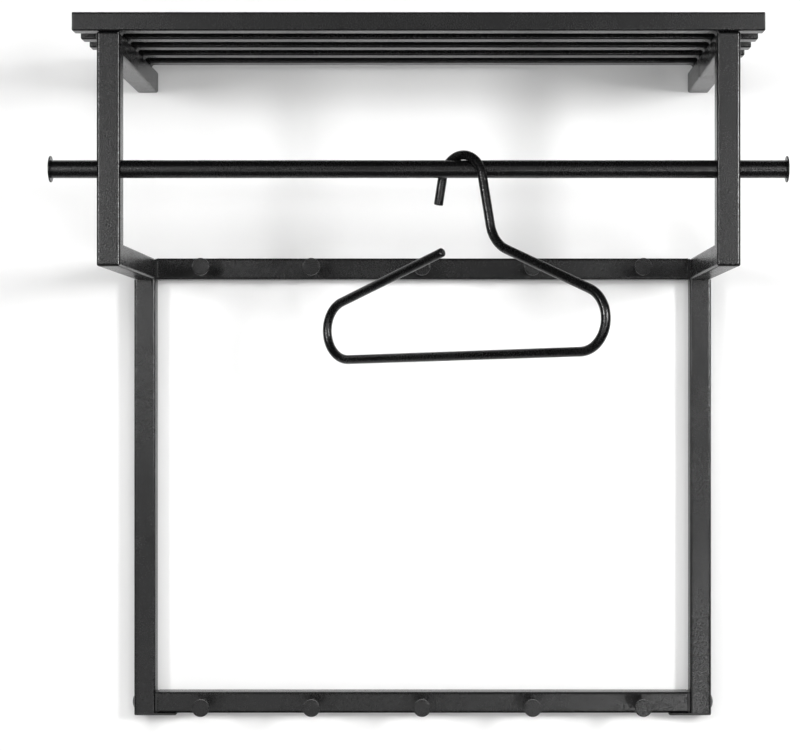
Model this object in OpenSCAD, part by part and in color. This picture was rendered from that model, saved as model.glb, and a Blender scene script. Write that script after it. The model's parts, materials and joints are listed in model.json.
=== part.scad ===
// Wall coat rack in square steel tube: two side frames, a slatted shelf, a hanging rail,
// two bars of peg hooks and one bent-rod coat hanger.
// X runs to the right, Y into the wall (the wall is the plane y = 0), Z up.
// The origin is the centre of the four wall screws, on the wall plane.

/* [Frame] */
// Width over the two side frames
frame_w = 682; // [560:1:1000]
// Depth from the wall to the front faces of the front posts
frame_d = 288; // [220:1:360]
// Height from the feet to the top of the shelf
rack_h = 784; // [700:1:1000]
// Height of the lower arms' underside above the feet
lower_arm_h = 515; // [420:1:580]
// Outer size of the square frame tube
tube = 25; // [20:0.5:32]
// Wall of the frame tube
tube_wall = 1.5; // [1:0.1:2.5]
// Outer corner radius of the frame tube
tube_r = 3; // [1:0.1:4]
// Radius ground on the outer edge of each mitred elbow
elbow_r = 3.2; // [0.5:0.1:4]
// Thickness of the plates that close the arms at the wall
end_plate_t = 2.5; // [1.5:0.1:4]

/* [Shelf] */
// How far the slats stand out past the side frames, over their end plates
slat_out = 26; // [0:0.5:60]
// Outer size of the square slat tube
slat = 20; // [14:0.5:25]
// Wall of the slat tube
slat_wall = 1.2; // [0.8:0.1:2]
// Outer corner radius of the slat tube
slat_r = 2.4; // [0.8:0.1:4]
// Gap between the last slat and the wall
shelf_back_gap = 50; // [20:1:80]
// How far the front slat stands ahead of the front posts
slat_lead = 2; // [0:0.5:8]
// Thickness of the plates that close the slats
slat_end_t = 2.5; // [1:0.1:4]
// Radius on the outer edges of those plates
slat_end_r = 1.8; // [0.3:0.1:2.2]

/* [Hanging rail] */
// Outer diameter of the rail
rail_d = 19; // [14:0.5:20]
// Wall of the rail
rail_wall = 1.5; // [1:0.1:2.5]
// How far the rail stands out past the side frames, over its end caps
rail_out = 51.5; // [20:0.5:90]
// Height of the rail's axis above the feet
rail_h = 619; // [590:1:640]
// Radial clearance of the rail in the posts
rail_clear = 0.15; // [0.05:0.05:0.3]
// Diameter of the rail's end caps
cap_d = 28; // [23:0.5:40]
// Thickness of the caps' flange
cap_t = 1.6; // [1:0.1:4]
// Length of the caps' plug inside the rail
cap_plug = 16; // [8:1:30]
// Diameter of the screws that lock the rail
lock_screw_d = 3.5; // [2.9:0.1:4.2]
// Length of those screws under their heads
lock_screw_len = 9.5; // [8:0.5:14]

/* [Peg hooks] */
// Distance from a side frame to the first hook's centre
hook_margin = 59; // [30:0.5:90]
// Reach of a hook from its bar to the front of its head
hook_reach = 47; // [30:1:70]
// Diameter of a hook's stem
stem_d = 10; // [9:0.5:14]
// Diameter of a hook's head
head_d = 20; // [16:0.5:30]
// Thickness of a hook's head
head_t = 5; // [3:0.5:10]
// Radius on the edges of a hook's head
head_r = 1.2; // [0.4:0.1:1.4]
// Thread diameter of the screws that hold the hooks
hook_screw_d = 6; // [4:0.5:6]
// How far those screws reach into the stems
hook_screw_grip = 12; // [8:1:20]

/* [Bar joints] */
// Thickness of the flange of the plugs in the bars' ends
plug_flange = 2.5; // [1.5:0.1:5]
// How far those flanges lie in from the faces of the tube
plug_step = 0.4; // [0.1:0.1:0.8]
// Length of the plugs inside the bars
plug_len = 28; // [20:1:45]
// Thread diameter of the bolts that hold the bars
bolt_d = 6; // [5:0.5:8]
// How far the bolts reach into the plugs
bolt_grip = 18; // [10:1:19]
// Diameter of the bolts' low domed heads
bolt_head_d = 19; // [12:0.5:20]
// Height of the bolts' heads
bolt_head_h = 3.2; // [2:0.1:5]

/* [Feet] */
// Thickness of the foot caps under the wall posts
foot_t = 2.5; // [1.5:0.1:5]
// Length of a foot cap's toe under the lower bar
toe_len = 25; // [10:1:40]
// Height of a foot cap's plug inside the wall post
foot_plug_h = 7; // [4:0.5:9]
// Wall of that plug
foot_plug_wall = 1.5; // [1:0.1:3]
// Chamfer round the underside of a foot cap
foot_chamfer = 1.2; // [0.4:0.1:1.4]

/* [Wall fixing] */
// Diameter of a keyhole's entry, for the screw's head
key_d = 10; // [8:0.5:11]
// Width of a keyhole's slot, for the screw's shank
key_slot_w = 4.8; // [4:0.1:5.4]
// Height from a keyhole's entry to the centre of its slot's end
key_rise = 9; // [7:0.5:10]
// Height of the lower keyholes' entries above the feet
lower_key_h = 70; // [50:1:200]

/* [Coat hanger] */
// Diameter of the hanger's rod
rod_d = 10; // [6:0.5:11]
// Reach of the hanger's body to the left of its hook, over the rod
body_left = 211.5; // [180:0.5:230]
// Reach of the hanger's body to the right of its hook, over the rod
body_right = 196.5; // [180:0.5:230]
// Drop from the rail's axis to the centre of the hanger's bottom run
body_drop = 198.5; // [180:0.5:230]
// Bend radius at the ends of the body, at the rod's centre
body_end_r = 33; // [24:0.5:36]
// Slope of the right shoulder
right_slope = 22.7; // [16:0.1:28]
// Slope of the left shoulder
left_slope = 17.1; // [12:0.1:22]
// Distance from the hook's centre line to the left shoulder's free tip
tip_reach = 30.5; // [20:0.5:60]
// Bend radius of the hook, at the rod's centre
hook_r = 29; // [24:0.2:36]
// Lean of the hook's neck from upright
neck_lean = 11.3; // [5:0.1:20]
// Lean of the hook's free leg from upright
leg_lean = 12.7; // [5:0.1:20]
// Length of the hook's free leg below its bend
leg_len = 27.5; // [10:0.5:40]
// Bend radius where the neck turns into the shoulder
neck_r = 37; // [20:1:50]
// Chamfer on the rod's two free ends
rod_chamfer = 1.5; // [0.3:0.1:2]
// Place of the hanger along the rail, from its middle
hanger_x = 46; // [-150:1:150]
// Turn of the hanger about its hook
hanger_yaw = 42; // [38:1:90]
// Tilt of the hanger in its own plane, from its uneven weight
hanger_tilt = 0.8; // [-3:0.1:3]
// Clearance between the hanger's hook and the rail
hanger_gap = 0.45; // [0.2:0.05:1]

/* [Hidden] */
$fn = 64;

powder_black = [0.16, 0.16, 0.165];
plastic_black = [0.08, 0.08, 0.08];
zinc = [0.62, 0.63, 0.65];

sides = [-1, 1];
slat_count = 5;
hook_count = 5;
// Clearances between pieces that fit in one another
fit_gap = 0.2;
thread_gap = 0.1;
bolt_gap = 0.3;
driver_gap = 0.5;
// Room past the tip of a screw in its blind hole
tip_room = 2;
// A screw head's diameter, straight height and dome height, as shares of the thread diameter
screw_head = 2;
screw_head_h = 0.35;
screw_dome_h = 0.25;
// Top of that dome and width of the key socket, as shares too
screw_dome_top = 1.4;
screw_socket = 0.7;
// Key socket of a bar's bolt: its width as a share of the thread diameter, and the floor under it
bolt_socket = 0.8;
bolt_socket_floor = 1;
// Smallest radius inside a tube's corner
inner_corner = 0.3;
// Overrun of a cutting tool past the face that it cuts
over = 1;
// Sides of the hanger's swept rod, and the turn between its rings in a bend
rod_sides = 20;
bend_step = 9;

// Heights above the feet of the upper keyholes, which sit centred in the shelf arms' wall plates
keyhole_top = key_rise + key_slot_w / 2;
keyhole_bottom = -key_d / 2;
upper_key_h = rack_h - slat - tube / 2 - (keyhole_top + keyhole_bottom) / 2;

// Heights from the origin
foot_z = -(lower_key_h + upper_key_h) / 2;
post_foot_z = foot_z + foot_t;
lower_arm_z = foot_z + lower_arm_h;
shelf_z = foot_z + rack_h - slat;
rail_z = foot_z + rail_h;
lower_bar_z = post_foot_z + tube / 2;
upper_bar_z = lower_arm_z + tube / 2;
shelf_arm_z = shelf_z - tube / 2;
lower_key_z = foot_z + lower_key_h;
upper_key_z = foot_z + upper_key_h;

// Places across and in depth
side_x = frame_w / 2 - tube / 2;
bar_half = frame_w / 2 - tube;
front_y = -frame_d;
post_y = front_y + tube / 2;
bar_y = -tube / 2;
bar_face_y = -tube;
bar_tube_half = bar_half - plug_flange;
slat_len = frame_w + 2 * slat_out;
slat_pitch = (frame_d + slat_lead - slat - shelf_back_gap) / (slat_count - 1);
rail_len = frame_w + 2 * rail_out;
hook_pitch = 2 * (bar_half - hook_margin) / (hook_count - 1);

// What fits in the frame tube
insert = tube - 2 * tube_wall - 2 * fit_gap;
insert_r = max(tube_r - tube_wall, inner_corner);

// A square with rounded corners, centred
module rounded_square(size, r) {
    square([size, size - 2 * r], center = true);
    square([size - 2 * r, size], center = true);
    for (x = sides, y = sides)
        translate([x * (size / 2 - r), y * (size / 2 - r)]) circle(r);
}

// Section of a square tube
module tube_section(size, wall, r) {
    difference() {
        rounded_square(size, r);
        rounded_square(size - 2 * wall, max(r - wall, inner_corner));
    }
}

// Lays what stands along Z along X, from the middle to both sides
module along_x(len) {
    rotate([90, 0, 90]) linear_extrude(len, center = true) children();
}

// Lays a section from depth y0 back to depth y1
module along_y(y0, y1) {
    translate([0, y1, 0]) rotate([90, 0, 0]) linear_extrude(y1 - y0) children();
}

// Stands a section from height z0 to height z1
module along_z(z0, z1) {
    translate([0, 0, z0]) linear_extrude(z1 - z0) children();
}

// A round hole along X or Y, cut to both sides of the middle
module hole_x(d, len) rotate([0, 90, 0]) cylinder(h = len, d = d, center = true);
module hole_y(d, len) rotate([90, 0, 0]) cylinder(h = len, d = d, center = true);

// Takes away one side of the mitre plane through a front corner.
// up is 1 at the lower elbow and -1 at the upper one; keep is "post" or "arm".
module mitre_cut(z, up, keep) {
    far = 2 * tube;
    tip = [[-far, -far * up], [far, far * up]];
    side = keep == "post" ? [far, -far * up] : [-far, far * up];
    translate([0, front_y, z]) rotate([90, 0, 90])
        linear_extrude(2 * tube, center = true) polygon([tip[0], tip[1], side]);
}

// Rounds the outer edge of an elbow
module elbow_round(z, up) {
    translate([0, front_y, z]) rotate([90, 0, 90])
        linear_extrude(2 * tube, center = true)
            difference() {
                translate([-over, up > 0 ? -over : -elbow_r]) square(elbow_r + over);
                translate([elbow_r, up * elbow_r]) circle(elbow_r);
            }
}

// Round entry and slot of a keyhole that opens to the wall
module keyhole(depth) {
    hole_y(key_d, 2 * depth);
    translate([0, 0, key_rise]) hole_y(key_slot_w, 2 * depth);
    translate([-key_slot_w / 2, -depth, 0]) cube([key_slot_w, 2 * depth, key_rise]);
}

module shelf_arm(side) {
    color(powder_black)
        translate([side * side_x, 0, 0])
            difference() {
                translate([0, 0, shelf_arm_z])
                    along_y(front_y, -end_plate_t) tube_section(tube, tube_wall, tube_r);
                mitre_cut(shelf_z, -1, "arm");
                elbow_round(shelf_z, -1);
            }
}

module front_post(side) {
    color(powder_black)
        translate([side * side_x, 0, 0])
            difference() {
                translate([0, post_y, 0])
                    along_z(lower_arm_z, shelf_z) tube_section(tube, tube_wall, tube_r);
                mitre_cut(shelf_z, -1, "post");
                mitre_cut(lower_arm_z, 1, "post");
                elbow_round(shelf_z, -1);
                elbow_round(lower_arm_z, 1);
                translate([0, post_y, rail_z]) hole_x(rail_d + 2 * rail_clear, tube + 2 * over);
                translate([0, front_y + tube, rail_z]) hole_y(lock_screw_d + 2 * bolt_gap, 3 * tube_wall);
            }
}

module lower_arm(side) {
    color(powder_black)
        translate([side * side_x, 0, 0])
            difference() {
                translate([0, 0, upper_bar_z])
                    along_y(front_y, -end_plate_t) tube_section(tube, tube_wall, tube_r);
                mitre_cut(lower_arm_z, 1, "arm");
                elbow_round(lower_arm_z, 1);
                translate([0, bar_y, upper_bar_z]) hole_x(bolt_d + 2 * bolt_gap, tube + 2 * over);
            }
}

module wall_post(side) {
    color(powder_black)
        translate([side * side_x, 0, 0])
            difference() {
                translate([0, bar_y, 0])
                    along_z(post_foot_z, lower_arm_z) tube_section(tube, tube_wall, tube_r);
                translate([0, bar_y, lower_bar_z]) hole_x(bolt_d + 2 * bolt_gap, tube + 2 * over);
                translate([0, 0, lower_key_z]) keyhole(2 * tube_wall);
            }
}

// Plate with a keyhole that closes a shelf arm at the wall
module wall_plate(side) {
    color(powder_black)
        translate([side * side_x, 0, 0])
            difference() {
                translate([0, 0, shelf_arm_z]) along_y(-end_plate_t, 0) rounded_square(tube, tube_r);
                translate([0, 0, upper_key_z]) keyhole(2 * end_plate_t);
            }
}

module lower_arm_end_plates() {
    color(powder_black)
        for (side = sides)
            translate([side * side_x, 0, upper_bar_z])
                along_y(-end_plate_t, 0) rounded_square(tube, tube_r);
}

// Plastic cap in a wall post's foot, with a toe under the lower bar
module foot_cap(side) {
    reach = tube + toe_len;
    color(plastic_black)
        translate([side * side_x, bar_y, 0]) mirror([side > 0 ? 1 : 0, 0, 0]) {
            difference() {
                along_z(foot_z, post_foot_z) {
                    rounded_square(tube, tube_r);
                    translate([0, -tube / 2]) square([reach - tube / 2 - tube_r, tube]);
                    translate([reach - tube, 0]) rounded_square(tube, tube_r);
                }
                // Chamfer along the front, the back and both ends
                for (y = sides)
                    translate([0, y * tube / 2, foot_z]) rotate([45, 0, 0])
                        cube([4 * reach, foot_chamfer * sqrt(2), foot_chamfer * sqrt(2)], center = true);
                for (x = [-tube / 2, reach - tube / 2])
                    translate([x, 0, foot_z]) rotate([0, 45, 0])
                        cube([foot_chamfer * sqrt(2), 2 * tube, foot_chamfer * sqrt(2)], center = true);
            }
            along_z(post_foot_z, post_foot_z + foot_plug_h)
                difference() {
                    rounded_square(insert, insert_r);
                    rounded_square(insert - 2 * foot_plug_wall, insert_r);
                }
        }
}

function slat_y(i) = front_y - slat_lead + slat / 2 + i * slat_pitch;

module shelf_slat(i) {
    color(powder_black)
        translate([0, slat_y(i), shelf_z + slat / 2])
            along_x(slat_len - 2 * slat_end_t) tube_section(slat, slat_wall, slat_r);
}

// Quarter-round cutter along an edge of a slat's end, on the side given by a turn about X
module slat_end_edge(turn) {
    rotate([turn, 0, 0]) translate([0, 0, slat / 2])
        rotate([90, 0, 0]) linear_extrude(2 * slat, center = true)
            difference() {
                translate([-slat_end_r, -slat_end_r]) square(slat_end_r + over);
                translate([-slat_end_r, -slat_end_r]) circle(slat_end_r);
            }
}

module slat_end_plates() {
    color(powder_black)
        for (i = [0:slat_count - 1], side = sides)
            translate([side * slat_len / 2, slat_y(i), shelf_z + slat / 2])
                rotate([0, 0, side > 0 ? 0 : 180])
                    difference() {
                        translate([-slat_end_t / 2, 0, 0]) along_x(slat_end_t) rounded_square(slat, slat_r);
                        for (turn = [0:90:270]) slat_end_edge(turn);
                    }
}

module hanging_rail() {
    color(powder_black)
        difference() {
            translate([0, post_y, rail_z]) rotate([0, 90, 0])
                difference() {
                    cylinder(h = rail_len - 2 * cap_t, d = rail_d, center = true);
                    cylinder(h = rail_len, d = rail_d - 2 * rail_wall, center = true);
                }
            for (side = sides)
                translate([side * side_x, post_y + rail_d / 2, rail_z])
                    hole_y(lock_screw_d + 2 * thread_gap, rail_d);
        }
}

// Flanged cap with a hollow plug, turned about the rail's axis
module rail_cap(side) {
    edge = cap_t / 3;
    plug_r = rail_d / 2 - rail_wall - fit_gap / 2;
    color(powder_black)
        translate([side * (rail_len / 2 - cap_t), post_y, rail_z]) rotate([0, side * 90, 0])
            rotate_extrude() {
                square([cap_d / 2 - edge, cap_t]);
                translate([0, edge]) square([cap_d / 2, cap_t - 2 * edge]);
                for (z = [edge, cap_t - edge]) translate([cap_d / 2 - edge, z]) circle(edge);
                translate([plug_r - rail_wall, -cap_plug]) square([rail_wall, cap_plug + over / 2]);
            }
}

// Round-head screws from behind the front posts into the rail
module rail_lock_screws() {
    color(zinc)
        for (side = sides)
            translate([side * side_x, front_y + tube, rail_z]) rotate([-90, 0, 0])
                round_screw(lock_screw_d, lock_screw_len);
}

// Screw along Z: shank below zero, round head above it
module round_screw(d, len) {
    translate([0, 0, -len]) cylinder(h = len, d = d);
    difference() {
        union() {
            cylinder(h = screw_head_h * d, d = screw_head * d);
            translate([0, 0, screw_head_h * d])
                cylinder(h = screw_dome_h * d, d1 = screw_head * d, d2 = screw_dome_top * d);
        }
        translate([0, 0, screw_head_h * d]) cylinder(h = d, d = screw_socket * d, $fn = 6);
    }
}

function hook_x(i) = (i - (hook_count - 1) / 2) * hook_pitch;

// Bar with a hole in front for each hook's screw and one behind to reach it
module hook_bar(z) {
    color(powder_black)
        translate([0, bar_y, z])
            difference() {
                along_x(2 * bar_tube_half) tube_section(tube, tube_wall, tube_r);
                for (i = [0:hook_count - 1])
                    translate([hook_x(i), 0, 0]) {
                        translate([0, -tube / 2, 0]) hole_y(hook_screw_d + 2 * bolt_gap, 3 * tube_wall);
                        translate([0, tube / 2, 0])
                            hole_y(screw_head * hook_screw_d + 2 * driver_gap, 3 * tube_wall);
                    }
            }
}

// Turned peg: stem with a blind threaded hole, and a round head
module peg_hook(i, z) {
    color(powder_black)
        translate([hook_x(i), bar_face_y, z]) rotate([90, 0, 0])
            difference() {
                rotate_extrude() {
                    square([stem_d / 2, hook_reach - head_t / 2]);
                    translate([0, hook_reach - head_t]) {
                        square([head_d / 2 - head_r, head_t]);
                        translate([0, head_r]) square([head_d / 2, head_t - 2 * head_r]);
                        for (y = [head_r, head_t - head_r])
                            translate([head_d / 2 - head_r, y]) circle(head_r);
                    }
                }
                translate([0, 0, -over])
                    cylinder(h = over + hook_screw_grip + tip_room, d = hook_screw_d + 2 * thread_gap);
            }
}

// Screws inside a bar, their heads against the back of its front wall
module hook_screws(z) {
    color(zinc)
        for (i = [0:hook_count - 1])
            translate([hook_x(i), bar_face_y + tube_wall, z]) rotate([-90, 0, 0])
                round_screw(hook_screw_d, hook_screw_grip + tube_wall);
}

// Flanged plugs in both ends of a bar, bored and threaded right through
module bar_plugs(z) {
    color(plastic_black)
        for (side = sides)
            translate([side * bar_half, bar_y, z]) rotate([0, 0, side > 0 ? 180 : 0])
                difference() {
                    union() {
                        translate([plug_flange / 2, 0, 0]) along_x(plug_flange)
                            rounded_square(tube - 2 * plug_step, tube_r - plug_step);
                        translate([plug_flange + plug_len / 2, 0, 0])
                            along_x(plug_len) rounded_square(insert, insert_r);
                    }
                    hole_x(bolt_d + 2 * thread_gap, 2 * (plug_flange + plug_len + over));
                }
}

// Bolts through the side frames into a bar's plugs, with low domed heads outside
module bar_bolts(z) {
    dome_r = (pow(bolt_head_d / 2, 2) + pow(bolt_head_h, 2)) / (2 * bolt_head_h);
    color(powder_black)
        for (side = sides)
            translate([side * frame_w / 2, bar_y, z]) rotate([0, side * 90, 0])
                difference() {
                    union() {
                        translate([0, 0, -(tube + plug_flange + bolt_grip)])
                            cylinder(h = tube + plug_flange + bolt_grip + over / 2, d = bolt_d);
                        intersection() {
                            cylinder(h = bolt_head_h, d = bolt_head_d);
                            translate([0, 0, bolt_head_h - dome_r]) sphere(dome_r, $fn = 96);
                        }
                    }
                    translate([0, 0, bolt_socket_floor])
                        cylinder(h = bolt_head_h, d = bolt_socket * bolt_d, $fn = 6);
                }
}

// The hanger is drawn in its own plane: first coordinate along it, second up, from the rail's axis.
hook_centre = [0, rail_d / 2 + hanger_gap + rod_d / 2 - hook_r];
run_z = -body_drop;
right_end = [body_right - rod_d / 2 - body_end_r, run_z + body_end_r];
left_end = [-(body_left - rod_d / 2 - body_end_r), run_z + body_end_r];
function heading(a) = [cos(a), sin(a)];
function cross2(a, b) = a[0] * b[1] - a[1] * b[0];
// Point where the line through p along angle a crosses the line through q along angle b
function meet(p, a, q, b) =
    p + heading(a) * cross2(q - p, heading(b)) / cross2(heading(a), heading(b));

// Rod's arcs start and end at these points
leg_top = hook_centre + hook_r * heading(180 - leg_lean);
leg_end = leg_top - leg_len * heading(90 - leg_lean);
neck_top = hook_centre + hook_r * heading(neck_lean);
right_shoulder = right_end + body_end_r * heading(90 - right_slope);
left_shoulder = left_end + body_end_r * heading(90 + left_slope);
left_tip = left_shoulder + heading(left_slope) * (-tip_reach - left_shoulder[0]) / cos(left_slope);
neck_corner = meet(neck_top, neck_lean - 90, right_shoulder, -right_slope);
neck_turn = 90 - neck_lean - right_slope;
neck_side = neck_r * tan(neck_turn / 2);
neck_end = neck_corner - neck_side * heading(neck_lean - 90);
shoulder_start = neck_corner + neck_side * heading(-right_slope);
neck_centre = neck_end + neck_r * heading(neck_lean);

// Points along a bend about c, each with the heading of the rod there
function bend(c, r, a0, a1) =
    let (steps = ceil(abs(a1 - a0) / bend_step), turn = a1 > a0 ? 90 : -90)
        [for (k = [0:steps]) let (a = a0 + (a1 - a0) * k / steps)
            [c[0] + r * cos(a), c[1] + r * sin(a), a + turn]];

// A free end, with one more point where its chamfer starts
leg_out = leg_end - rod_chamfer * heading(90 - leg_lean);
tip_out = left_tip + rod_chamfer * heading(left_slope);

rod_path = concat(
    [[leg_out[0], leg_out[1], 90 - leg_lean], [leg_end[0], leg_end[1], 90 - leg_lean]],
    bend(hook_centre, hook_r, 180 - leg_lean, neck_lean),
    bend(neck_centre, neck_r, 180 + neck_lean, 270 - right_slope),
    bend(right_end, body_end_r, 90 - right_slope, -90),
    bend(left_end, body_end_r, 270, 90 + left_slope),
    [[left_tip[0], left_tip[1], left_slope], [tip_out[0], tip_out[1], left_slope]]
);

// Corner j of the ring at place i along the rod; the first and last rings are the chamfers' small ends
function ring_corner(i, j) =
    let (last = len(rod_path) - 1,
         r = rod_d / 2 - (i == 0 || i == last ? rod_chamfer : 0),
         t = 360 * j / rod_sides,
         h = rod_path[i][2])
        [rod_path[i][0] - r * cos(t) * sin(h), rod_path[i][1] + r * cos(t) * cos(h), r * sin(t)];

// The rod swept along its path
module bent_rod() {
    last = len(rod_path) - 1;
    corners = [for (i = [0:last], j = [0:rod_sides - 1]) ring_corner(i, j)];
    skin = [for (i = [0:last - 1], j = [0:rod_sides - 1])
        let (k = (j + 1) % rod_sides, a = i * rod_sides, b = a + rod_sides)
            [a + j, b + j, b + k, a + k]];
    first_face = [for (j = [0:rod_sides - 1]) j];
    last_face = [for (j = [rod_sides - 1:-1:0]) last * rod_sides + j];
    polyhedron(corners, concat(skin, [first_face, last_face]));
}

module coat_hanger() {
    color(powder_black)
        translate([hanger_x, post_y, rail_z]) rotate([0, 0, -hanger_yaw])
            rotate([90, 0, 0]) rotate([0, 0, hanger_tilt]) bent_rod();
}

shelf_arm(-1);  // left_shelf_arm
shelf_arm(1);  // right_shelf_arm
front_post(-1);  // left_front_post
front_post(1);  // right_front_post
lower_arm(-1);  // left_lower_arm
lower_arm(1);  // right_lower_arm
wall_post(-1);  // left_wall_post
wall_post(1);  // right_wall_post
wall_plate(-1);  // left_wall_plate
wall_plate(1);  // right_wall_plate
lower_arm_end_plates();
foot_cap(-1);  // left_foot_cap
foot_cap(1);  // right_foot_cap
shelf_slat(0);  // shelf_slat_1
shelf_slat(1);  // shelf_slat_2
shelf_slat(2);  // shelf_slat_3
shelf_slat(3);  // shelf_slat_4
shelf_slat(4);  // shelf_slat_5
slat_end_plates();
hanging_rail();
rail_cap(-1);  // left_rail_cap
rail_cap(1);  // right_rail_cap
rail_lock_screws();
hook_bar(upper_bar_z);  // upper_hook_bar
hook_bar(lower_bar_z);  // lower_hook_bar
bar_plugs(upper_bar_z);  // upper_bar_plugs
bar_plugs(lower_bar_z);  // lower_bar_plugs
bar_bolts(upper_bar_z);  // upper_bar_bolts
bar_bolts(lower_bar_z);  // lower_bar_bolts
peg_hook(0, upper_bar_z);  // upper_hook_1
peg_hook(1, upper_bar_z);  // upper_hook_2
peg_hook(2, upper_bar_z);  // upper_hook_3
peg_hook(3, upper_bar_z);  // upper_hook_4
peg_hook(4, upper_bar_z);  // upper_hook_5
peg_hook(0, lower_bar_z);  // lower_hook_1
peg_hook(1, lower_bar_z);  // lower_hook_2
peg_hook(2, lower_bar_z);  // lower_hook_3
peg_hook(3, lower_bar_z);  // lower_hook_4
peg_hook(4, lower_bar_z);  // lower_hook_5
hook_screws(upper_bar_z);  // upper_hook_screws
hook_screws(lower_bar_z);  // lower_hook_screws
coat_hanger();
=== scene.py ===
import json
import math

import bmesh
import bpy
from mathutils import Matrix, Vector


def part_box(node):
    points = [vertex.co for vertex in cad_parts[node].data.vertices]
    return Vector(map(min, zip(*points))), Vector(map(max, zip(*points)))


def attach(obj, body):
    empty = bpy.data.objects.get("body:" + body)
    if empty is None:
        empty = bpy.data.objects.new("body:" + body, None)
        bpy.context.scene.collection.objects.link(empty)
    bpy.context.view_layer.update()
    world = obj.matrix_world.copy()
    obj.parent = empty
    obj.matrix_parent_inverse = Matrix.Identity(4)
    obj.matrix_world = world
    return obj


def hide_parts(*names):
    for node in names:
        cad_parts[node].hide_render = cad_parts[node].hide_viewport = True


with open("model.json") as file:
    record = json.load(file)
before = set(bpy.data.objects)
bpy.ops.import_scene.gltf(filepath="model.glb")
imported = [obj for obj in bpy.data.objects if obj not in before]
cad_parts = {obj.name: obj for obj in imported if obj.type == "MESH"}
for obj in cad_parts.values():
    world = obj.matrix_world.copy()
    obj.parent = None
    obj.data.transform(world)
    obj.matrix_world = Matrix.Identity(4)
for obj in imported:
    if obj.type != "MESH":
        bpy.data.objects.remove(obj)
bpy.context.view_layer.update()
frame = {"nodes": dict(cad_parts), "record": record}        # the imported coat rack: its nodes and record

print("coat rack:", len(frame["nodes"]), "nodes loaded")
mm = 0.001


# helpers

def lookAt(place, target):
    # turns a lamp, which shines along its own -Z, to face target
    return (Vector(target) - Vector(place)).to_track_quat("-Z", "Y")


def joinRings(work, rings, closed=False):
    # faces from ring to ring; then a cap at each end, unless the last ring meets the first
    following = rings[1:] + rings[:1] if closed else rings[1:]
    for ring, after in zip(rings, following):
        for j in range(len(ring)):
            k = (j + 1) % len(ring)
            work.faces.new((ring[j], after[j], after[k], ring[k]))
    if not closed:
        work.faces.new(rings[0])
        work.faces.new(rings[-1])


def addMesh(name, body, material, build):
    # makes a piece that rides on a CAD body; build fills an empty bmesh
    mesh = bpy.data.meshes.new(name)
    work = bmesh.new()
    build(work)
    bmesh.ops.recalc_face_normals(work, faces=work.faces)
    work.to_mesh(mesh)
    work.free()
    mesh.materials.append(material)
    mesh.shade_smooth()
    piece = bpy.data.objects.new(name, mesh)
    bpy.context.scene.collection.objects.link(piece)
    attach(piece, body)
    return piece


def newMaterial(name):
    material = bpy.data.materials.new(name)
    material.use_nodes = True
    tree = material.node_tree
    return material, tree.nodes, tree.links, tree.nodes["Principled BSDF"]


def addBlend(nodes, links, mask, first, second):
    # first colour where the mask is 0, second where it is 1
    blend = nodes.new("ShaderNodeMix")
    blend.data_type = "RGBA"
    links.new(mask, blend.inputs["Factor"])
    blend.inputs["A"].default_value = (*first, 1)
    blend.inputs["B"].default_value = (*second, 1)
    return blend.outputs["Result"]


def addRange(nodes, links, value, fromRange, toRange):
    # spreads a value from one range to another and holds it there
    spread = nodes.new("ShaderNodeMapRange")
    for socket, limit in zip(("From Min", "From Max", "To Min", "To Max"), (*fromRange, *toRange)):
        spread.inputs[socket].default_value = limit
    links.new(value, spread.inputs["Value"])
    return spread.outputs["Result"]


def addLightPath(nodes, links, names):
    # 1 for the named kinds of ray, else 0
    path = nodes.new("ShaderNodeLightPath")
    total = path.outputs[names[0]]
    for name in names[1:]:
        either = nodes.new("ShaderNodeMath")
        either.operation = "MAXIMUM"
        links.new(total, either.inputs[0])
        links.new(path.outputs[name], either.inputs[1])
        total = either.outputs[0]
    return total


# camera: straight at the wall, with its frame shifted as the photo's is

photo = {
    "width": 800,
    "height": 750,
    "focalPixels": 2133.5,
    "centreX": 457.5,        # pixel where the camera's axis meets the picture
    "centreY": 392.7,
    "sensor": 36,
    "place": (41.2 * mm, -2545.6 * mm, -28.0 * mm),
}


def makeCamera():
    data = bpy.data.cameras.new("photoCamera")
    data.sensor_width = photo["sensor"]
    data.lens = photo["focalPixels"] * photo["sensor"] / photo["width"]
    data.shift_x = 0.5 - photo["centreX"] / photo["width"]
    data.shift_y = (photo["centreY"] - photo["height"] / 2) / photo["width"]
    camera = bpy.data.objects.new("photoCamera", data)
    camera.location = photo["place"]
    camera.rotation_euler = (math.pi / 2, 0, 0)
    bpy.context.scene.collection.objects.link(camera)
    bpy.context.scene.camera = camera


makeCamera()
bpy.context.scene.view_settings.view_transform = "Standard"
print("camera set")


# studio: white wall behind the rack, pale floor, soft lamps; lengths in metres

studio = {
    "wallGap": 0.5 * mm,
    "wallHalf": 1.3,
    "wallTop": 1.0,
    "floorZ": -1.7,
    "floorHalf": 2.8,
    "floorDepth": 3.2,
    "roughness": 0.9,
    "specular": 0.1,
    "patchScale": 1.3,       # faint unevenness of a painted surface
    "patchTint": (0.99, 0.99, 0.985),
    "wallTone": 0.78,
    "floorTone": 0.72,
    "wallSheen": 0.62,       # the tones that reflections see
    "floorSheen": 0.06,
    "wallGlow": 0.07,        # brings the lit wall up to white for the eye and in reflections
    "floorGlow": 0.01,
    "worldGlow": 0.01,
    "worldSheen": 0.02,      # what the room beyond the wall adds to reflections
    "lampAim": (0, -0.15, 0),
}

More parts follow.
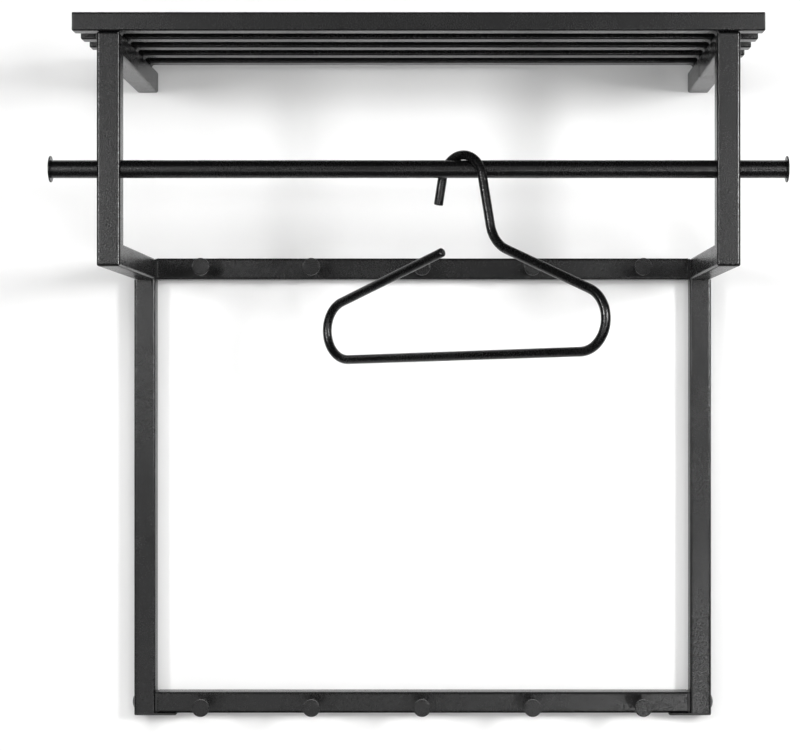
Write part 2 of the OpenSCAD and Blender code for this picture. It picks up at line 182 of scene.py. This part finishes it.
# power in watts; the keys throw the hooks' shadows, the softboxes give most of the light, the panels
# stand about where the front faces mirror them, and sheen False keeps a lamp out of reflections
lamps = {
    "leftKey": {"place": (-0.865, -2.5, 0.12), "size": (0.22, 0.28), "power": 2.7},
    "rightKey": {"place": (1.08, -2.5, 0.165), "size": (0.22, 0.28), "power": 3.1},
    "lowKey": {"place": (0.72, -2.5, -0.7), "size": (0.22, 0.28), "power": 5},
    "rightSoftbox": {"place": (1.75, -2.2, 0.4), "size": (0.4, 0.6), "power": 46},
    "leftSoftbox": {"place": (-1.6, -2.2, 0.4), "size": (0.4, 0.6), "power": 25},
    "lowLeftSoftbox": {"place": (-1.1, -2.4, -0.75), "size": (0.6, 0.8), "power": 3},
    "rightPanel": {"place": (1.0, -2.4, 0.5), "size": (0.6, 1.0), "power": 5.3},
    "leftPanel": {"place": (-0.9, -2.4, 0.6), "size": (0.6, 1.0), "power": 2.7},
    "middlePanel": {"place": (0.2, -2.7, 0.3), "size": (0.5, 0.6), "power": 1.2},
    "lowPanel": {"place": (-0.1, -2.6, -0.85), "size": (0.9, 0.5), "power": 3.1},
    "highPanel": {"place": (-0.1, -2.5, 1.0), "size": (0.9, 0.4), "power": 1.2},
    "wallFill": {"place": (0.0, -2.6, 0.9), "size": (1.2, 0.8), "power": 20, "sheen": False},
    "backSoftbox": {"place": (0.0, 2.2, 1.4), "size": (2.0, 1.4), "power": 30},
}


def makeStageMaterial(name, tone, sheenTone, glow, openBack):
    material, nodes, links, shader = newMaterial(name)
    shader.inputs["Roughness"].default_value = studio["roughness"]
    shader.inputs["Specular IOR Level"].default_value = studio["specular"]
    patches = nodes.new("ShaderNodeTexNoise")
    patches.inputs["Scale"].default_value = studio["patchScale"]
    tint = addBlend(nodes, links, patches.outputs["Fac"], (tone, tone, tone),
                    [tone * share for share in studio["patchTint"]])
    # reflections see the sheen tone instead
    shown = nodes.new("ShaderNodeMix")
    shown.data_type = "RGBA"
    links.new(addLightPath(nodes, links, ["Is Glossy Ray"]), shown.inputs["Factor"])
    links.new(tint, shown.inputs["A"])
    shown.inputs["B"].default_value = (sheenTone, sheenTone, sheenTone, 1)
    links.new(shown.outputs["Result"], shader.inputs["Base Color"])
    shader.inputs["Emission Color"].default_value = (1, 1, 1, 1)
    seen = addLightPath(nodes, links, ["Is Camera Ray", "Is Glossy Ray", "Is Transmission Ray"])
    strength = nodes.new("ShaderNodeMath")
    strength.operation = "MULTIPLY"
    strength.inputs[1].default_value = glow
    links.new(seen, strength.inputs[0])
    links.new(strength.outputs[0], shader.inputs["Emission Strength"])
    if not openBack:
        return material
    # from behind, the wall isn't there, and it stops no lamp
    back = nodes.new("ShaderNodeNewGeometry")
    path = nodes.new("ShaderNodeLightPath")
    gone = nodes.new("ShaderNodeMath")
    gone.operation = "MAXIMUM"
    links.new(back.outputs["Backfacing"], gone.inputs[0])
    links.new(path.outputs["Is Shadow Ray"], gone.inputs[1])
    clear = nodes.new("ShaderNodeBsdfTransparent")
    mix = nodes.new("ShaderNodeMixShader")
    links.new(gone.outputs[0], mix.inputs["Fac"])
    links.new(shader.outputs["BSDF"], mix.inputs[1])
    links.new(clear.outputs["BSDF"], mix.inputs[2])
    links.new(mix.outputs["Shader"], nodes["Material Output"].inputs["Surface"])
    return material


def addStageSheet(name, corners, material):
    mesh = bpy.data.meshes.new(name)
    mesh.from_pydata(corners, [], [(0, 1, 2, 3)])
    mesh.materials.append(material)
    sheet = bpy.data.objects.new(name, mesh)
    bpy.context.scene.collection.objects.link(sheet)


def makeStage():
    half, top, floor = studio["wallHalf"], studio["wallTop"], studio["floorZ"]
    wallY, frontY, floorHalf = studio["wallGap"], -studio["floorDepth"], studio["floorHalf"]
    wall = makeStageMaterial("studioWall", studio["wallTone"], studio["wallSheen"],
                             studio["wallGlow"], openBack=True)
    pale = makeStageMaterial("studioFloor", studio["floorTone"], studio["floorSheen"],
                             studio["floorGlow"], openBack=False)
    # corners run so that the wall faces the camera and the floor faces up
    addStageSheet("studioWall", [(-half, wallY, floor), (half, wallY, floor),
                                 (half, wallY, top), (-half, wallY, top)], wall)
    addStageSheet("studioFloor", [(-floorHalf, frontY, floor), (floorHalf, frontY, floor),
                                  (floorHalf, -frontY, floor), (-floorHalf, -frontY, floor)], pale)


def makeLamps():
    for name, lamp in lamps.items():
        data = bpy.data.lights.new(name, "AREA")
        data.shape = "RECTANGLE"
        data.size, data.size_y = lamp["size"]
        data.energy = lamp["power"]
        light = bpy.data.objects.new(name, data)
        light.location = lamp["place"]
        light.rotation_mode = "QUATERNION"
        light.rotation_quaternion = lookAt(lamp["place"], studio["lampAim"])
        light.visible_glossy = lamp.get("sheen", True)
        bpy.context.scene.collection.objects.link(light)


def makeWorld():
    world = bpy.data.worlds.new("studioWorld")
    bpy.context.scene.world = world
    world.use_nodes = True
    nodes, links = world.node_tree.nodes, world.node_tree.links
    background = nodes["Background"]
    background.inputs["Color"].default_value = (1, 1, 1, 1)
    # white to the eye, dim in reflections, and a low fill light for the rest
    strength = None
    for ray, level in (("Is Glossy Ray", studio["worldSheen"]), ("Is Camera Ray", 1)):
        step = nodes.new("ShaderNodeMix")
        links.new(addLightPath(nodes, links, [ray]), step.inputs["Factor"])
        step.inputs["A"].default_value = studio["worldGlow"]
        if strength:
            links.new(strength, step.inputs["A"])
        step.inputs["B"].default_value = level
        strength = step.outputs["Result"]
    links.new(strength, background.inputs["Strength"])


makeStage()
makeLamps()
makeWorld()
print("studio lit")


# finishes

def makeGrainGroup():
    # grain of a sprayed or moulded surface: a height for bump, a fine speckle and a coarse cloud
    group = bpy.data.node_groups.new("surfaceGrain", "ShaderNodeTree")
    for name in ("Grain Scale", "Cloud Scale"):
        group.interface.new_socket(name, in_out="INPUT", socket_type="NodeSocketFloat")
    for name in ("Height", "Speckle", "Cloud"):
        group.interface.new_socket(name, in_out="OUTPUT", socket_type="NodeSocketFloat")
    nodes, links = group.nodes, group.links
    given = nodes.new("NodeGroupInput")
    result = nodes.new("NodeGroupOutput")
    place = nodes.new("ShaderNodeTexCoord")
    grain = nodes.new("ShaderNodeTexNoise")
    grain.inputs["Detail"].default_value = 1
    bumps = nodes.new("ShaderNodeTexVoronoi")
    bumps.feature = "SMOOTH_F1"
    cloud = nodes.new("ShaderNodeTexNoise")
    for texture, scale in ((grain, "Grain Scale"), (bumps, "Grain Scale"), (cloud, "Cloud Scale")):
        links.new(place.outputs["Object"], texture.inputs["Vector"])
        links.new(given.outputs[scale], texture.inputs["Scale"])
    height = nodes.new("ShaderNodeMath")
    height.operation = "ADD"
    links.new(grain.outputs["Fac"], height.inputs[0])
    links.new(bumps.outputs["Distance"], height.inputs[1])
    links.new(height.outputs[0], result.inputs["Height"])
    links.new(grain.outputs["Fac"], result.inputs["Speckle"])
    links.new(cloud.outputs["Fac"], result.inputs["Cloud"])
    return group


grainGroup = makeGrainGroup()


def addGrain(nodes, look):
    grain = nodes.new("ShaderNodeGroup")
    grain.node_tree = grainGroup
    grain.inputs["Grain Scale"].default_value = look["grainScale"]
    grain.inputs["Cloud Scale"].default_value = look["cloudScale"]
    return grain


powderCoat = {
    "colour": (0.0012, 0.0012, 0.0013),
    "speck": (0.0048, 0.0048, 0.0050),
    "speckRange": (0.35, 0.75),      # the speckle's values from plain colour to full speck
    "gloss": (0.20, 0.31),           # roughness at its least and most
    "glossRange": (0.7, 1.3),        # speckle and cloud together, from least to most
    "grainScale": 900,
    "cloudScale": 14,
    "bump": 1.0,
    "bumpHeight": 0.11 * mm,
}

blackPlastic = {
    "colour": (0.006, 0.006, 0.006),
    "speck": (0.010, 0.010, 0.010),
    "speckRange": (0.35, 0.75),
    "gloss": (0.40, 0.50),
    "glossRange": (0.7, 1.3),
    "grainScale": 2200,
    "cloudScale": 30,
    "bump": 0.10,
    "bumpHeight": 0.04 * mm,
}


def makeCoating(name, look):
    material, nodes, links, shader = newMaterial(name)
    grain = addGrain(nodes, look)
    specks = addRange(nodes, links, grain.outputs["Speckle"], look["speckRange"], (0, 1))
    tone = addBlend(nodes, links, specks, look["colour"], look["speck"])
    links.new(tone, shader.inputs["Base Color"])
    patch = nodes.new("ShaderNodeMath")
    patch.operation = "ADD"
    links.new(grain.outputs["Cloud"], patch.inputs[0])
    links.new(grain.outputs["Speckle"], patch.inputs[1])
    gloss = addRange(nodes, links, patch.outputs[0], look["glossRange"], look["gloss"])
    links.new(gloss, shader.inputs["Roughness"])
    bump = nodes.new("ShaderNodeBump")
    bump.inputs["Strength"].default_value = look["bump"]
    bump.inputs["Distance"].default_value = look["bumpHeight"]
    links.new(grain.outputs["Height"], bump.inputs["Height"])
    links.new(bump.outputs["Normal"], shader.inputs["Normal"])
    return material


zincPlate = {
    "colour": (0.55, 0.56, 0.58),
    "dull": (0.42, 0.42, 0.43),
    "gloss": (0.28, 0.45),
    "grainScale": 1500,
    "cloudScale": 260,
}


def makeZinc(name, look):
    material, nodes, links, shader = newMaterial(name)
    shader.inputs["Metallic"].default_value = 1
    grain = addGrain(nodes, look)
    tone = addBlend(nodes, links, grain.outputs["Cloud"], look["colour"], look["dull"])
    links.new(tone, shader.inputs["Base Color"])
    gloss = addRange(nodes, links, grain.outputs["Speckle"], (0, 1), look["gloss"])
    links.new(gloss, shader.inputs["Roughness"])
    return material


powderMaterial = makeCoating("powderBlack", powderCoat)
finishes = {
    "powder_black": powderMaterial,
    "plastic_black": makeCoating("plasticBlack", blackPlastic),
    "zinc": makeZinc("zincPlate", zincPlate),
}


def dressNodes():
    slots = {part["node"]: part["material_slot"] for part in frame["record"]["subparts"]}
    for name, piece in frame["nodes"].items():
        piece.data.materials.clear()
        piece.data.materials.append(finishes[slots[name]])


dressNodes()
print("finishes on", len(frame["nodes"]), "nodes")


# weld beads under the slats, along the inner side of each shelf arm

# in millimetres, apart from the shares and the count of steps
slatWeld = {
    "leg": 3.6,              # its reach along the slat and down the arm
    "length": 15,
    "taper": 2.5,
    "endShare": 0.3,         # how much of the leg is left at each end
    "rippleShare": 0.15,     # how much of the leg a ripple takes off
    "ripplePitch": 1.5,
    "step": 0.3,
    "hollow": 0.7,           # 0 for a straight face, 1 for a quarter round
    "faceSteps": 6,
    "root": 2.2,             # how far it fills in over the arm's rounded corner
    "embed": 0.4,
}


def weldProfile(leg):
    # (into the room, downward) round the bead, from the slat to the arm and back inside both
    points = []
    steps = slatWeld["faceSteps"]
    for k in range(steps + 1):
        angle = math.radians(90 * k / steps)
        hollow = Vector((leg - leg * math.sin(angle), leg - leg * math.cos(angle)))
        straight = Vector((leg * (1 - k / steps), leg * k / steps))
        points.append(straight.lerp(hollow, slatWeld["hollow"]))
    root, embed = slatWeld["root"], slatWeld["embed"]
    points += [Vector((-embed, leg)), Vector((-root, embed)), Vector((-root, -embed)), Vector((leg, -embed))]
    return points


def addBead(work, innerX, inward, middleY, underZ):
    half, taper, endShare = slatWeld["length"] / 2, slatWeld["taper"], slatWeld["endShare"]
    steps = round(slatWeld["length"] / slatWeld["step"])
    rings = []
    for k in range(steps + 1):
        along = -half + slatWeld["length"] * k / steps
        past = max(0, abs(along) - half + taper) / taper
        swell = endShare + (1 - endShare) * math.sqrt(max(0, 1 - past * past))
        wave = abs(math.sin(math.pi * along / slatWeld["ripplePitch"]))
        leg = slatWeld["leg"] * (swell - slatWeld["rippleShare"] * wave)
        y = middleY + along * mm
        rings.append([work.verts.new(Vector((innerX + inward * p.x * mm, y, underZ - p.y * mm)))
                      for p in weldProfile(leg)])
    joinRings(work, rings)


def buildSlatWelds(work):
    leftArm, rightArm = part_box("left_shelf_arm"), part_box("right_shelf_arm")
    for slat in sorted(name for name in frame["nodes"] if name.startswith("shelf_slat_")):
        low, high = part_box(slat)
        middle = (low[1] + high[1]) / 2
        addBead(work, leftArm[1][0], 1, middle, low[2])
        addBead(work, rightArm[0][0], -1, middle, low[2])


addMesh("slatWelds", "rack", powderMaterial, buildSlatWelds)
print("slats welded")


# the coating's thick edge round each end of the bars' tubes

# in millimetres, apart from the counts
barEdge = {
    "round": 0.5,            # radius of the rounded edge
    "proud": 0.3,            # how far it stands out from the tube
    "sides": 10,
    "corner": 3,             # radius of the tube's own corners
    "cornerSteps": 6,
}


def edgeLoop(centreY, centreZ, half):
    # (y, z) and outward angle round a square tube
    corner, steps = barEdge["corner"] * mm, barEdge["cornerSteps"]
    loop = []
    for quarter in range(4):
        diagonal = math.radians(90 * quarter + 45)
        cornerY = centreY + math.copysign(half - corner, math.cos(diagonal))
        cornerZ = centreZ + math.copysign(half - corner, math.sin(diagonal))
        for k in range(steps + 1):
            angle = math.radians(90 * quarter + 90 * k / steps)
            loop.append((cornerY + corner * math.cos(angle), cornerZ + corner * math.sin(angle), angle))
    return loop


def buildBarEdges(work):
    size, sides = barEdge["round"] * mm, barEdge["sides"]
    inset = size - barEdge["proud"] * mm
    for bar in ("upper_hook_bar", "lower_hook_bar"):
        low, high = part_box(bar)
        loop = edgeLoop((low[1] + high[1]) / 2, (low[2] + high[2]) / 2, (high[2] - low[2]) / 2)
        for x in (low[0] + size, high[0] - size):
            rings = []
            for y, z, angle in loop:
                ring = []
                for j in range(sides):
                    turn = 2 * math.pi * j / sides
                    out = size * math.cos(turn) - inset
                    ring.append(work.verts.new(Vector((x + size * math.sin(turn), y + out * math.cos(angle),
                                                       z + out * math.sin(angle)))))
                rings.append(ring)
            joinRings(work, rings, closed=True)


addMesh("barEndEdges", "rack", powderMaterial, buildBarEdges)
print("bar ends edged")


# coat hanger: one bent rod, drawn finer than the solid that it stands for

# in millimetres and degrees, with the body's sizes and tipReach measured from the rail's axis
hanger = {
    "place": (46, -275.5, 209.85),   # where the hook sits on the rail's axis
    "yaw": 42,
    "tilt": 0.8,
    "rod": 10,
    "railDiameter": 19,
    "gap": 0.45,
    "bodyLeft": 211.5,
    "bodyRight": 196.5,
    "bodyDrop": 198.5,
    "endRadius": 33,
    "rightSlope": 22.7,
    "leftSlope": 17.1,
    "tipReach": 30.5,
    "hookRadius": 29,
    "neckLean": 11.3,
    "legLean": 12.7,
    "legLength": 27.5,
    "neckRadius": 37,
    "endRound": 1.5,
    "endTurns": (22, 45, 67, 90),    # where the rings of a rounded end lie
    "sides": 40,                     # facets round the rod
    "bendStep": 3,
    "runStep": 8,
}


def heading(angle):
    # the direction at an angle in degrees
    return Vector((math.cos(math.radians(angle)), math.sin(math.radians(angle))))


def crossingPoint(p, angleP, q, angleQ):
    # where the line through p along angleP crosses the line through q along angleQ
    along, across = heading(angleP), heading(angleQ)
    return p + along * ((q - p).cross(across) / along.cross(across))


def addBend(path, centre, radius, start, end):
    steps = math.ceil(abs(end - start) / hanger["bendStep"])
    turn = 90 if end > start else -90
    for k in range(steps + 1):
        angle = start + (end - start) * k / steps
        path.append((centre + heading(angle) * radius, angle + turn))


def addRun(path, start, end, angle):
    # evenly spaced rings between two bends, neither end among them
    steps = max(1, round((end - start).length / hanger["runStep"]))
    for k in range(1, steps):
        path.append((start.lerp(end, k / steps), angle))


def hangerPath():
    # (place, heading) along the rod's middle, from the hook's leg to the open tip
    h = hanger
    neckLean, legLean, right, left = h["neckLean"], h["legLean"], h["rightSlope"], h["leftSlope"]
    hookRadius, endRadius, neckRadius = h["hookRadius"], h["endRadius"], h["neckRadius"]
    hook = Vector((0, h["railDiameter"] / 2 + h["gap"] + h["rod"] / 2 - hookRadius))
    rightEnd = Vector((h["bodyRight"] - h["rod"] / 2 - endRadius, endRadius - h["bodyDrop"]))
    leftEnd = Vector((h["rod"] / 2 + endRadius - h["bodyLeft"], endRadius - h["bodyDrop"]))
    legTop = hook + heading(180 - legLean) * hookRadius
    legEnd = legTop - heading(90 - legLean) * h["legLength"]
    neckTop = hook + heading(neckLean) * hookRadius
    rightShoulder = rightEnd + heading(90 - right) * endRadius
    leftShoulder = leftEnd + heading(90 + left) * endRadius
    tip = leftShoulder + heading(left) * ((-h["tipReach"] - leftShoulder.x) / math.cos(math.radians(left)))
    corner = crossingPoint(neckTop, neckLean - 90, rightShoulder, -right)
    neckSide = neckRadius * math.tan(math.radians((90 - neckLean - right) / 2))
    neckEnd = corner - heading(neckLean - 90) * neckSide
    slopeStart = corner + heading(-right) * neckSide
    path = [(legEnd, 90 - legLean)]
    addRun(path, legEnd, legTop, 90 - legLean)
    addBend(path, hook, hookRadius, 180 - legLean, neckLean)
    addRun(path, neckTop, neckEnd, neckLean - 90)
    addBend(path, neckEnd + heading(neckLean) * neckRadius, neckRadius, 180 + neckLean, 270 - right)
    addRun(path, slopeStart, rightShoulder, -right)
    addBend(path, rightEnd, endRadius, 90 - right, -90)
    addRun(path, rightEnd + heading(-90) * endRadius, leftEnd + heading(270) * endRadius, 180)
    addBend(path, leftEnd, endRadius, 270, 90 + left)
    addRun(path, leftShoulder, tip, left)
    path.append((tip, left))
    return path


def roundedEnd(place, angle, sign):
    # (place, heading, radius) of the rings that close a free end; sign is -1 at the rod's start
    full, lip = hanger["rod"] / 2, hanger["endRound"]
    rings = []
    for turn in hanger["endTurns"]:
        out = lip * math.sin(math.radians(turn))
        radius = full - lip * (1 - math.cos(math.radians(turn)))
        rings.append((place + heading(angle) * (sign * out), angle, radius))
    return rings


def buildHanger(work):
    path = hangerPath()
    sides = hanger["sides"]
    toWorld = (Matrix.Translation(Vector(hanger["place"]) * mm)
               @ Matrix.Rotation(math.radians(-hanger["yaw"]), 4, "Z")
               @ Matrix.Rotation(math.pi / 2, 4, "X")
               @ Matrix.Rotation(math.radians(hanger["tilt"]), 4, "Z") @ Matrix.Scale(mm, 4))
    rings = [(place, angle, hanger["rod"] / 2) for place, angle in path]
    rings = roundedEnd(*path[0], -1)[::-1] + rings + roundedEnd(*path[-1], 1)
    made = []
    for place, angle, radius in rings:
        across = heading(angle + 90)
        ring = []
        for j in range(sides):
            turn = 2 * math.pi * j / sides
            flat = place + across * (radius * math.cos(turn))
            ring.append(work.verts.new(toWorld @ Vector((flat.x, flat.y, radius * math.sin(turn)))))
        made.append(ring)
    joinRings(work, made)


hangerRod = addMesh("hangerRod", "hanger", powderMaterial, buildHanger)
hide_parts("coat_hanger")
print("coat hanger bent")
